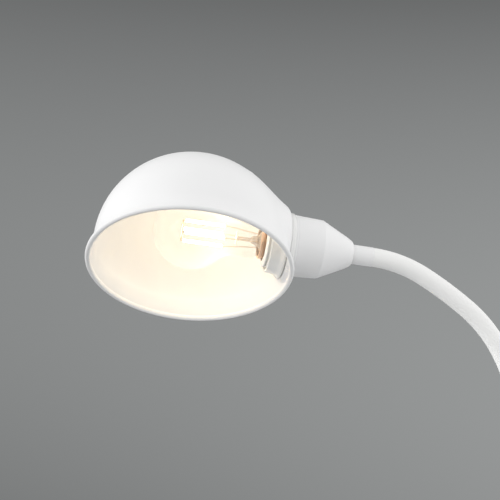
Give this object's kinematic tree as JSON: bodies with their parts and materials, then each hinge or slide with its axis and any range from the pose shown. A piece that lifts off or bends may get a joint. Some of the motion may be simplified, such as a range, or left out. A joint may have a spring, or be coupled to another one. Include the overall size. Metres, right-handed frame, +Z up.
{
  "type": "gooseneck desk lamp",
  "caption": "Gooseneck desk lamp: round weighted base with push switch, white sleeved flexible arm, and a dome shade that turns on its lampholder cover.",
  "frame": {"origin": "middle of the foot pad's flat underside, on the axis of the arm's lower end", "axes": "+Z up, +X to the rear towards the cable inlet, so the head hangs towards -X; -Y is the side with the push button"},
  "size_m": [0.4398, 0.172, 0.4222],
  "materials": {
    "foam": "matte foam",
    "zinc_steel": "zinc plated",
    "cast_iron": "raw casting, oiled",
    "white_coat": "white powder coat",
    "white_sleeve": "soft white sleeve",
    "white_plastic": "moulded white plastic",
    "black_plastic": "moulded black plastic",
    "white_rubber": "white rubber",
    "lead_sheath": "silicone sheath",
    "holder_plastic": "glazed thermoplastic",
    "ceramic": "steatite block",
    "brass": "bright brass",
    "vitrite": "black glass insulator",
    "solder": "dull contact",
    "clear_glass": "clear blown glass",
    "filament_glow": "warm glowing filament",
    "shade_coat": "white powder coat, pressed sheet"
  },
  "bodies": {
    "base": {"foot_pad": "foam", "base_plate": "zinc_steel", "base_weight": "cast_iron", "base_cover": "white_coat", "base_screws": "zinc_steel", "cable_grommet": "white_rubber", "switch_barrel": "black_plastic", "switch_bezel": "white_plastic", "switch_nut": "zinc_steel", "arm_collar": "white_coat", "base_nipple": "zinc_steel", "base_nut": "zinc_steel", "base_washer": "zinc_steel", "sleeve_1": "white_sleeve", "core_1": "zinc_steel", "lead_1": "lead_sheath"},
    "button": {"switch_button": "white_plastic"},
    "arm_2": {"sleeve_2": "white_sleeve", "core_2": "zinc_steel", "lead_2": "lead_sheath"},
    "arm_3": {"sleeve_3": "white_sleeve", "core_3": "zinc_steel", "lead_3": "lead_sheath"},
    "arm_4": {"sleeve_4": "white_sleeve", "core_4": "zinc_steel", "lead_4": "lead_sheath"},
    "arm_5": {"sleeve_5": "white_sleeve", "core_5": "zinc_steel", "lead_5": "lead_sheath"},
    "arm_6": {"sleeve_6": "white_sleeve", "core_6": "zinc_steel", "lead_6": "lead_sheath"},
    "arm_7": {"sleeve_7": "white_sleeve", "core_7": "zinc_steel", "lead_7": "lead_sheath"},
    "arm_8": {"sleeve_8": "white_sleeve", "core_8": "zinc_steel", "lead_8": "lead_sheath", "head_ferrule": "white_coat", "head_nipple": "zinc_steel", "swivel_nut": "zinc_steel", "swivel_washer": "zinc_steel"},
    "head": {"holder_cover": "white_coat", "spacer_ring": "white_plastic", "holder_cap": "holder_plastic", "holder_skirt": "holder_plastic", "shade_ring": "holder_plastic", "terminal_block": "ceramic", "terminal_screws": "zinc_steel", "screw_shell": "brass", "centre_contact": "brass", "shade": "shade_coat", "bulb_cap": "brass", "bulb_insulator": "vitrite", "bulb_contact": "solder", "bulb_glass": "clear_glass", "bulb_stem": "clear_glass", "filament_wires": "zinc_steel", "filaments": "filament_glow"}
  },
  "joints": [
    {"name": "lower_bend", "type": "hinge", "parent": "base", "child": "arm_2", "pos_m": [0, 0, 0.088], "axis": [0, -1, 0], "range_deg": [-20, 20], "deforming": ["sleeve_2", "lead_2", "sleeve_1", "lead_1"]},
    {"name": "side_bend", "type": "hinge", "parent": "arm_2", "child": "arm_3", "pos_m": [0, 0, 0.133], "axis": [1, 0, 0], "range_deg": [-30, 30], "deforming": ["sleeve_3", "lead_3"]},
    {"name": "lower_bend_2", "type": "hinge", "parent": "arm_3", "child": "arm_4", "pos_m": [0, 0, 0.178], "axis": [0, -1, 0], "range_deg": [-20, 20], "deforming": ["sleeve_4", "lead_4"]},
    {"name": "upper_bend", "type": "hinge", "parent": "arm_4", "child": "arm_5", "pos_m": [-0.0047, 0, 0.22267], "axis": [0, -1, 0], "range_deg": [-20.5, 10], "deforming": ["sleeve_5", "lead_5"]},
    {"name": "upper_bend_2", "type": "hinge", "parent": "arm_5", "child": "arm_6", "pos_m": [-0.02004, 0, 0.26482], "axis": [0, -1, 0], "range_deg": [-20.5, 10], "deforming": ["sleeve_6", "lead_6"]},
    {"name": "upper_bend_3", "type": "hinge", "parent": "arm_6", "child": "arm_7", "pos_m": [-0.04818, 0, 0.29958], "axis": [0, -1, 0], "range_deg": [-20.5, 10], "deforming": ["sleeve_7", "lead_7"]},
    {"name": "upper_bend_4", "type": "hinge", "parent": "arm_7", "child": "arm_8", "pos_m": [-0.08456, 0, 0.32601], "axis": [0, -1, 0], "range_deg": [-20.5, 10], "deforming": ["sleeve_8", "lead_8"]},
    {"name": "head_turn", "type": "hinge", "parent": "arm_8", "child": "head", "pos_m": [-0.12654, 0, 0.34129], "axis": [-0.9903, 0, 0.1392], "range_deg": [-123, 57]},
    {"name": "switch_press", "type": "slide", "parent": "base", "child": "button", "axis": [0, 0, -1], "range_m": [0, 0.0025], "stiffness_N_per_m": 200, "springref_m": -0.005}
  ],
  "couplings": [
    {"joint": "lower_bend_2", "follows": "lower_bend", "ratio": 1},
    {"joint": "upper_bend_2", "follows": "upper_bend", "ratio": 1},
    {"joint": "upper_bend_3", "follows": "upper_bend", "ratio": 1},
    {"joint": "upper_bend_4", "follows": "upper_bend", "ratio": 1}
  ]
}
